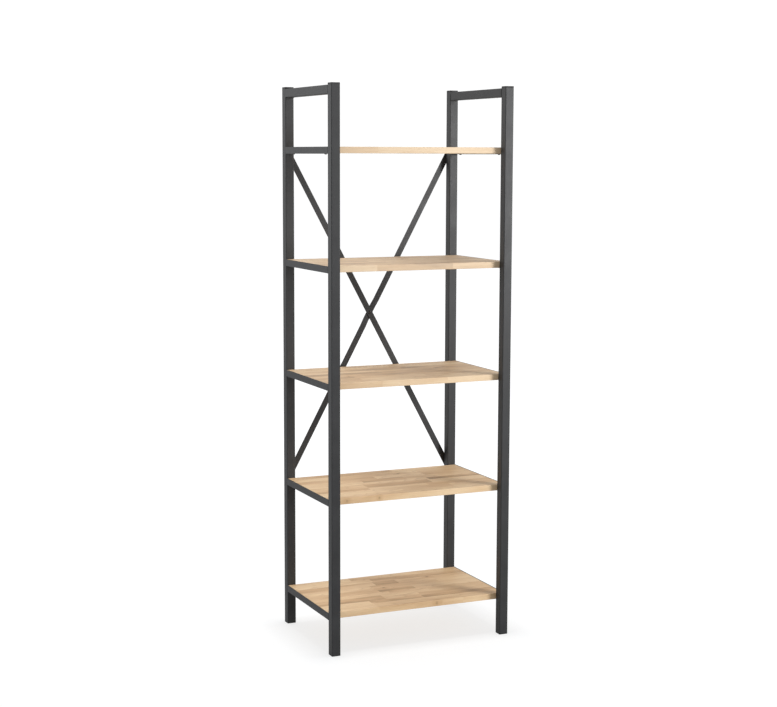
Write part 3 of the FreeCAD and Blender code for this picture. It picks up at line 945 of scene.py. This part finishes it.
@dataclass
class WeldBeads:
    """Rippled beads where the rails meet the uprights; the outer faces are ground flush."""

    finish: Material
    radius: float = 1.5 * MM
    ripple: float = 0.9 * MM
    ripple_share: float = 0.16
    steps_per_ripple: float = 3.0
    end_share: float = 0.45
    taper: float = 9.0
    sides: int = 8
    setback: float = 3 * MM

    def recipe(self) -> Recipe:
        """Tree that turns edges into rippled beads.

        Returns:
            The finished tree.
        """
        made = Recipe("weld_bead", {"Radius": "Float", "Step": "Float", "Ripple": "Float"})
        bench, given = made.bench, made.inputs
        path = bench.add("GeometryNodeMeshToCurve", {0: given["Geometry"]})
        fine = bench.add("GeometryNodeResampleCurve", {"Curve": path, "Length": given["Step"]},
                         mode="LENGTH")
        along = bench.add("GeometryNodeSplineParameter").outputs
        wave = bench.math("SINE", bench.times(along["Index"], math.tau / self.steps_per_ripple))
        crest = bench.plus(bench.times(wave, given["Ripple"]), 1.0)
        from_end = bench.math("MINIMUM", along["Factor"], bench.minus(1.0, along["Factor"]))
        rise = bench.plus(bench.times(from_end, self.taper), self.end_share)
        taper = bench.math("MINIMUM", rise, 1.0)
        section = bench.add("GeometryNodeCurvePrimitiveCircle", {
            "Resolution": self.sides, "Radius": given["Radius"]})
        bead = bench.add("GeometryNodeCurveToMesh", {
            "Curve": fine, "Profile Curve": section, "Fill Caps": True,
            "Scale": bench.times(crest, taper)})
        made.end(bead)
        return made

    def paths(self) -> list[list[Vector]]:
        """Lines of the beads, in the corners between rails and uprights.

        Returns:
            One list of points for each bead.
        """
        lines = []
        for side in Side:
            shelf_rails = [f"shelf_rail_{shelf.word}_{side.word}" for shelf in Shelf]
            for node in (f"top_rail_{side.word}", *shelf_rails):
                low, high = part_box(node)
                inner, outer = (low.x, high.x)[::side.outward]
                end = outer - side.outward * self.setback
                for y in (low.y, high.y):
                    line = [Vector((inner, y, low.z)), Vector((end, y, low.z))]
                    if node not in shelf_rails:
                        line.insert(0, Vector((inner, y, high.z - self.setback)))
                    lines.append(line)
        return lines

    def build(self) -> None:
        """Make every bead as one piece of the steel frame."""
        corners, edges = [], []
        for line in self.paths():
            first = len(corners)
            corners.extend(line)
            edges.extend((first + step, first + step + 1) for step in range(len(line) - 1))
        source = bpy.data.meshes.new("bead_paths")
        source.from_pydata(corners, edges, [])
        beads = self.recipe().cook("weld_beads", source, self.finish, {
            "Radius": self.radius, "Step": self.ripple, "Ripple": self.ripple_share})
        beads.data.shade_smooth()
        settle(beads, STEEL_BODY, Slot.POWDER)


# ---- brace and fasteners

@dataclass(frozen=True)
class ScrewShape:
    """Button-head screw with a hexagon socket; the head's seat is the local floor."""

    bore: float
    grip: float
    head: float
    crown: float
    socket: float
    pitch: float
    steps: int = 36
    rows_per_turn: int = 4
    groove_share: float = 0.30
    tip_share: float = 0.30
    point_share: float = 0.25
    dome_steps: tuple = (6, 14, 26, 38, 50, 62, 70)
    dome_roundness: float = 0.55
    dome_reach: float = 0.94
    rim_share: float = 0.97
    socket_rings: tuple = ((1.08, 1.0), (1.0, 0.93), (1.0, 0.42))
    socket_floor: tuple = (0.16, 0.30)

    def build(self, name: str) -> Mesh:
        """Make the screw's mesh, shank down and head up.

        Args:
            name: Name of the mesh.

        Returns:
            A closed mesh.
        """
        thread = thread_radius(self.bore / 2, self.pitch, self.groove_share * self.pitch)
        rows = max(self.rows_per_turn, round(self.grip / self.pitch * self.rows_per_turn))
        start = -self.grip + self.point_share * self.bore / 3
        rings = [(round_radius(self.tip_share * self.bore), -self.grip)]
        rings += [(thread, start - start * row / rows) for row in range(rows + 1)]
        half = self.head / 2
        rings.append((round_radius(half * self.rim_share), 0.0))
        for lift in self.dome_steps:
            angle = math.radians(lift)
            rings.append((round_radius(half * math.cos(angle) ** self.dome_roundness),
                          self.crown * math.sin(angle) / self.dome_reach))
        rings += [(hexagon_radius(self.socket * wide), self.crown * high)
                  for wide, high in self.socket_rings]
        wide, high = self.socket_floor
        rings.append((round_radius(self.socket * wide), self.crown * high))
        return turned_mesh(name, rings, self.steps)


@dataclass
class Fasteners:
    """Screws and nut, set on points by one geometry-node tree."""

    finish: Material
    recipe: Recipe = field(init=False)

    def __post_init__(self) -> None:
        """Build the tree that puts one fastener on every point."""
        self.recipe = Recipe("fasteners_on_points", {
            "Fastener": "Object", "Turn": "Rotation", "Seed": "Int"})
        bench, given = self.recipe.bench, self.recipe.inputs
        shape = bench.add("GeometryNodeObjectInfo", {"Object": given["Fastener"], "As Instance": True})
        spin = bench.add("FunctionNodeRandomValue", {3: math.tau, "Seed": given["Seed"]},
                         data_type="FLOAT")
        about = bench.add("ShaderNodeCombineXYZ", {2: spin.outputs[1]})
        own_turn = bench.add("FunctionNodeEulerToRotation", {0: about})
        turned = bench.add("FunctionNodeRotateRotation", {0: given["Turn"], 1: own_turn},
                           rotation_space="LOCAL")
        placed = bench.add("GeometryNodeInstanceOnPoints", {
            "Points": given["Geometry"], "Instance": shape.outputs["Geometry"],
            "Rotation": turned})
        self.recipe.end(placed)

    def place(self, name: str, shape: Mesh, points: Sequence[Vector], turn: Euler,
              node: str, seed: int) -> None:
        """Set copies of a fastener on points.

        Args:
            name: Name of the new piece.
            shape: Mesh of one fastener, standing on the local floor.
            points: Where its seat goes.
            turn: How it is turned from standing up.
            node: CAD node that the piece stands for.
            seed: Seed of the turn about its own axis.
        """
        model = new_piece(f"{name}_model", shape)
        source = bpy.data.meshes.new(f"{name}_points")
        source.from_pydata(list(points), [], [])
        piece = self.recipe.cook(name, source, self.finish, {
            "Fastener": model, "Turn": turn, "Seed": seed})
        bpy.data.objects.remove(model)
        piece.data.shade_smooth()
        piece.data.set_sharp_from_angle(angle=SMOOTH_ANGLE)
        settle(piece, STEEL_BODY, Slot.BLACK_STEEL, [node])


@dataclass
class CrossBrace:
    """Two flat bars crossed behind the rear uprights, with all their hardware."""

    steel: Material
    fasteners: Fasteners
    bar_ease: float = 0.45 * MM
    washer_ease: float = 0.25 * MM
    bolt: ScrewShape = ScrewShape(bore=5.95 * MM, grip=16.4 * MM, head=10.5 * MM, crown=3.3 * MM,
                                  socket=4 * MM, pitch=1 * MM)
    nut_chamfer: float = 0.192
    nut_corner: float = 1.01
    nut_play: float = 0.05 * MM
    nut_mouth: float = 0.3 * MM
    nut_steps: int = 48
    end_seed: int = 5
    centre_seed: int = 9
    nut_seed: int = 3

    @staticmethod
    def corner_points() -> list[Vector]:
        """Find the axes of the four end bolts, on the rear face of the washers.

        Returns:
            The seats of the four heads.
        """
        low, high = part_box("brace_washers")
        post_low, post_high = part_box("upright_rear_left")
        half = (post_low.x + post_high.x) / 2 - low.x
        return [Vector((x, high.y, z)) for z in (low.z + half, high.z - half)
                for x in (low.x + half, high.x - half)]

    def build_bars(self) -> None:
        """Copy the two bars and the washers with eased edges."""
        for way in ("falling", "rising"):
            bar = softened_copy(f"brace_bar_{way}", f"flat_bar_{way}", self.steel, self.bar_ease)
            settle(bar, STEEL_BODY, Slot.POWDER, [f"brace_bar_{way}"])
        washers = softened_copy("brace_washers", "end_washers", self.fasteners.finish, self.washer_ease)
        settle(washers, STEEL_BODY, Slot.BLACK_STEEL, ["brace_washers"])

    def build_bolts(self) -> None:
        """Make the end screws, the centre screw and its nut."""
        forwards, backwards = Euler((math.pi / 2, 0, 0)), Euler((-math.pi / 2, 0, 0))
        self.fasteners.place("end_bolts", self.bolt.build("end_bolt"), self.corner_points(),
                             backwards, "brace_end_screws", self.end_seed)
        low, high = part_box("brace_centre_screw")
        nut_low, nut_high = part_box("brace_centre_nut")
        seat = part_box("brace_bar_falling")[0].y
        middle = (low + high) / 2
        centre = replace(self.bolt, grip=high.y - seat)
        self.fasteners.place("centre_bolt", centre.build("centre_bolt_shape"),
                             [Vector((middle.x, seat, middle.z))], forwards,
                             "brace_centre_screw", self.centre_seed)
        nut = self.nut_mesh(nut_high.z - nut_low.z, nut_high.y - nut_low.y)
        self.fasteners.place("centre_nut", nut, [Vector((middle.x, nut_low.y, middle.z))],
                             backwards, "brace_centre_nut", self.nut_seed)

    def nut_mesh(self, across: float, height: float) -> Mesh:
        """Thin hexagon nut with chamfered corners.

        Args:
            across: Size across the flats.
            height: Height of the nut.

        Returns:
            A closed mesh standing on the local floor.
        """
        chamfer = self.nut_chamfer * height
        bore = self.bolt.bore / 2 + self.nut_play
        hollow, mouth = round_radius(bore), round_radius(bore + self.nut_mouth)
        flank = hexagon_radius(across)
        corner = hexagon_radius(across, across / 2 * self.nut_corner)
        rings = [(hollow, 0.0), (corner, 0.0), (flank, chamfer), (flank, height - chamfer),
                 (corner, height), (mouth, height), (hollow, height - self.nut_mouth)]
        return turned_mesh("thin_nut", rings, self.nut_steps, hollow=True)


@dataclass
class ShelfScrews:
    """Screws up through the angle rails into the fixed boards."""

    fasteners: Fasteners
    bore: float = 3.95 * MM
    pitch: float = 1.6 * MM
    socket: float = 2.5 * MM
    rail_wall: float = 2 * MM
    steps: int = 24
    first_seed: int = 17

    def build(self) -> None:
        """Make four screws under each fixed board."""
        for number, shelf in enumerate(shelf for shelf in Shelf if shelf.screwed):
            node = f"shelf_screws_{shelf.word}"
            low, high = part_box(node)
            rail_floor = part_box(f"shelf_rail_{shelf.word}_left")[0].z
            crown = rail_floor - low.z
            head = self.head_size(low, shelf)
            shape = ScrewShape(self.bore, high.z - rail_floor, head, crown, self.socket, self.pitch,
                               self.steps)
            half = head / 2
            points = [Vector((x, y, rail_floor)) for x in (low.x + half, high.x - half)
                      for y in (low.y + half, high.y - half)]
            self.fasteners.place(f"board_screws_{shelf.word}", shape.build("board_screw"), points,
                                 Euler((math.pi, 0, 0)), node, self.first_seed + number)

    def head_size(self, low: Vector, shelf: Shelf) -> float:
        """Diameter of a screw head, from its distance to the middle of the rail's seat."""
        rail_low, rail_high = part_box(f"shelf_rail_{shelf.word}_left")
        return 2 * ((rail_low.x + self.rail_wall + rail_high.x) / 2 - low.x)


# ---- studio

class Reach(Enum):
    """What a light falls on."""

    OBJECT = "object"
    FLOOR = "floor"


@dataclass(frozen=True)
class Softbox:
    """Square soft light, placed by its direction from the middle of the object."""

    name: str
    azimuth: float
    elevation: float
    distance: float
    size: float
    power: float
    reach: Reach = Reach.OBJECT


def looking_at(aim: Vector, azimuth: float, elevation: float, distance: float) -> Matrix:
    """Place of a camera or light that looks at a point.

    Args:
        aim: Point to look at.
        azimuth: Angle round from the front in degrees, positive to the right.
        elevation: Angle above the floor's level in degrees.
        distance: Distance from the point in metres.

    Returns:
        The matrix for the camera or light, upright.
    """
    turn, lift = math.radians(azimuth), math.radians(elevation)
    away = Vector((math.sin(turn) * math.cos(lift), -math.cos(turn) * math.cos(lift), math.sin(lift)))
    facing = (-away).to_track_quat("-Z", "Y").to_matrix().to_4x4()
    return Matrix.Translation(aim + away * distance) @ facing


@dataclass
class Studio:
    """Pale floor, white room, soft lights and the camera."""

    azimuth: float = -24.03
    elevation: float = 7.007
    roll: float = 0.159
    distance: float = 5.3218
    lens: float = 74.754
    film: float = 36.0
    aim_offset: tuple = (-0.0233, 0.0, 0.0309)
    room_seen: float = 1.05
    room_light: tuple = (0.36, 0.70)
    room_turn: tuple = (-0.3, 0.7)
    floor_half: float = 60.0
    floor_white: tuple = (0.342, 0.350, 0.359)
    floor_glow: float = 0.28
    floor_seen: tuple = (0.735, 0.86)
    floor_range: tuple = (1.2, 4.0)
    softboxes: tuple = (
        Softbox("key_high", 41, 25, 4.5, 1.3, 72.0),
        Softbox("key_low", 41, 3, 4.5, 1.0, 53.0),
        Softbox("key_near", 39, 16, 2.2, 0.5, 7.5),
        Softbox("left", -90, 6, 3.0, 1.95, 12.0),
        Softbox("rim_left", -130, 15, 3.5, 2.0, 14.0),
        Softbox("high_left", -95, 50, 2.6, 0.8, 21.0),
        Softbox("top_wide", 0, 90, 3.1, 2.6, 3.0),
        Softbox("floor_top", 0, 90, 14.0, 0.9, 830.0, Reach.FLOOR),
    )
    receivers: dict[Reach, bpy.types.Collection] = field(default_factory=dict)

    def build_camera(self, low: Vector, high: Vector) -> None:
        """Set the camera at its viewing angle.

        Args:
            low: Lowest corner of the object.
            high: Its highest corner.
        """
        aim = (low + high) / 2 + Vector(self.aim_offset)
        camera = bpy.data.objects.new("camera", bpy.data.cameras.new("camera"))
        bpy.context.scene.collection.objects.link(camera)
        camera.data.lens = self.lens
        camera.data.sensor_width = self.film
        camera.matrix_world = (looking_at(aim, self.azimuth, self.elevation, self.distance)
                               @ Matrix.Rotation(math.radians(self.roll), 4, "Z"))
        bpy.context.scene.camera = camera

    def build_floor(self) -> None:
        """Lay a wide pale floor that is almost white and keeps a soft shadow under the object."""
        half = self.floor_half
        mesh = bpy.data.meshes.new("floor")
        mesh.from_pydata([(-half, -half, 0), (half, -half, 0), (half, half, 0), (-half, half, 0)],
                         [], [(0, 1, 2, 3)])
        material, bench, place = start_material("pale_floor")
        away = bench.measure("LENGTH", place)
        shown = bench.span(away, self.floor_range, self.floor_seen, smooth=True)
        seen = bench.add("ShaderNodeLightPath").outputs["Is Camera Ray"]
        extra = bench.times(bench.minus(shown, self.floor_glow), seen)
        matt = bench.add("ShaderNodeBsdfDiffuse", {"Color": self.floor_white})
        glow = bench.add("ShaderNodeEmission", {
            "Color": WHITE, "Strength": bench.plus(extra, self.floor_glow)})
        both = bench.add("ShaderNodeAddShader", {0: matt, 1: glow})
        bench.add("ShaderNodeOutputMaterial", {"Surface": both})
        mesh.materials.append(material)
        floor = new_piece("floor", mesh)
        floor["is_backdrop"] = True
        for reach, state in ((Reach.FLOOR, "INCLUDE"), (Reach.OBJECT, "EXCLUDE")):
            group = bpy.data.collections.new(f"lit_{reach.value}")
            group.objects.link(floor)
            group.collection_objects[0].light_linking.link_state = state
            self.receivers[reach] = group

    def add_softbox(self, box: Softbox, middle: Vector) -> None:
        """Hang a square light that faces the middle of the object.

        Args:
            box: The light.
            middle: Middle of the object.
        """
        data = bpy.data.lights.new(box.name, "AREA")
        data.shape = "SQUARE"
        data.size = box.size
        data.energy = box.power
        light = bpy.data.objects.new(box.name, data)
        bpy.context.scene.collection.objects.link(light)
        light.matrix_world = looking_at(middle, box.azimuth, box.elevation, box.distance)
        light.light_linking.receiver_collection = self.receivers[box.reach]

    def build_room(self) -> None:
        """Surround everything with a white room that is brighter behind the object than before it."""
        world = bpy.data.worlds.new("white_room")
        bpy.context.scene.world = world
        world.use_nodes = True
        bench = Bench(world.node_tree)
        seen = bench.add("ShaderNodeLightPath").outputs["Is Camera Ray"]
        towards = bench.add("ShaderNodeTexCoord").outputs["Generated"]
        turn = math.radians(self.azimuth)
        behind = bench.measure("DOT_PRODUCT", towards, (-math.sin(turn), math.cos(turn), 0.0))
        light = bench.span(behind, self.room_turn, self.room_light, smooth=True)
        unseen = bench.minus(1.0, seen)
        shown = bench.plus(bench.times(seen, self.room_seen), bench.times(unseen, light))
        white = bench.add("ShaderNodeBackground", {"Color": WHITE, "Strength": shown})
        bench.add("ShaderNodeOutputWorld", {"Surface": white})

    def build(self, low: Vector, high: Vector) -> None:
        """Set the whole studio up around the object.

        Args:
            low: Lowest corner of the object.
            high: Its highest corner.
        """
        self.build_floor()
        self.build_room()
        for box in self.softboxes:
            self.add_softbox(box, (low + high) / 2)
        self.build_camera(low, high)
        bpy.context.scene.view_settings.view_transform = "Standard"
        LOG.info("studio set around %s to %s", tuple(low), tuple(high))


def main() -> None:
    """Build the finishes, the pieces and the studio in order."""
    logging.basicConfig(level=logging.INFO, format="%(name)s: %(message)s")
    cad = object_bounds()
    finishes = make_finishes()
    dress_cad_nodes(finishes)
    ShelfBoards(finishes[Slot.OAK]).build()
    WeldBeads(finishes[Slot.POWDER]).build()
    fasteners = Fasteners(finishes[Slot.BLACK_STEEL])
    brace = CrossBrace(finishes[Slot.POWDER], fasteners)
    brace.build_bars()
    brace.build_bolts()
    ShelfScrews(fasteners).build()
    Studio().build(*cad)


if __name__ == "__main__":
    main()
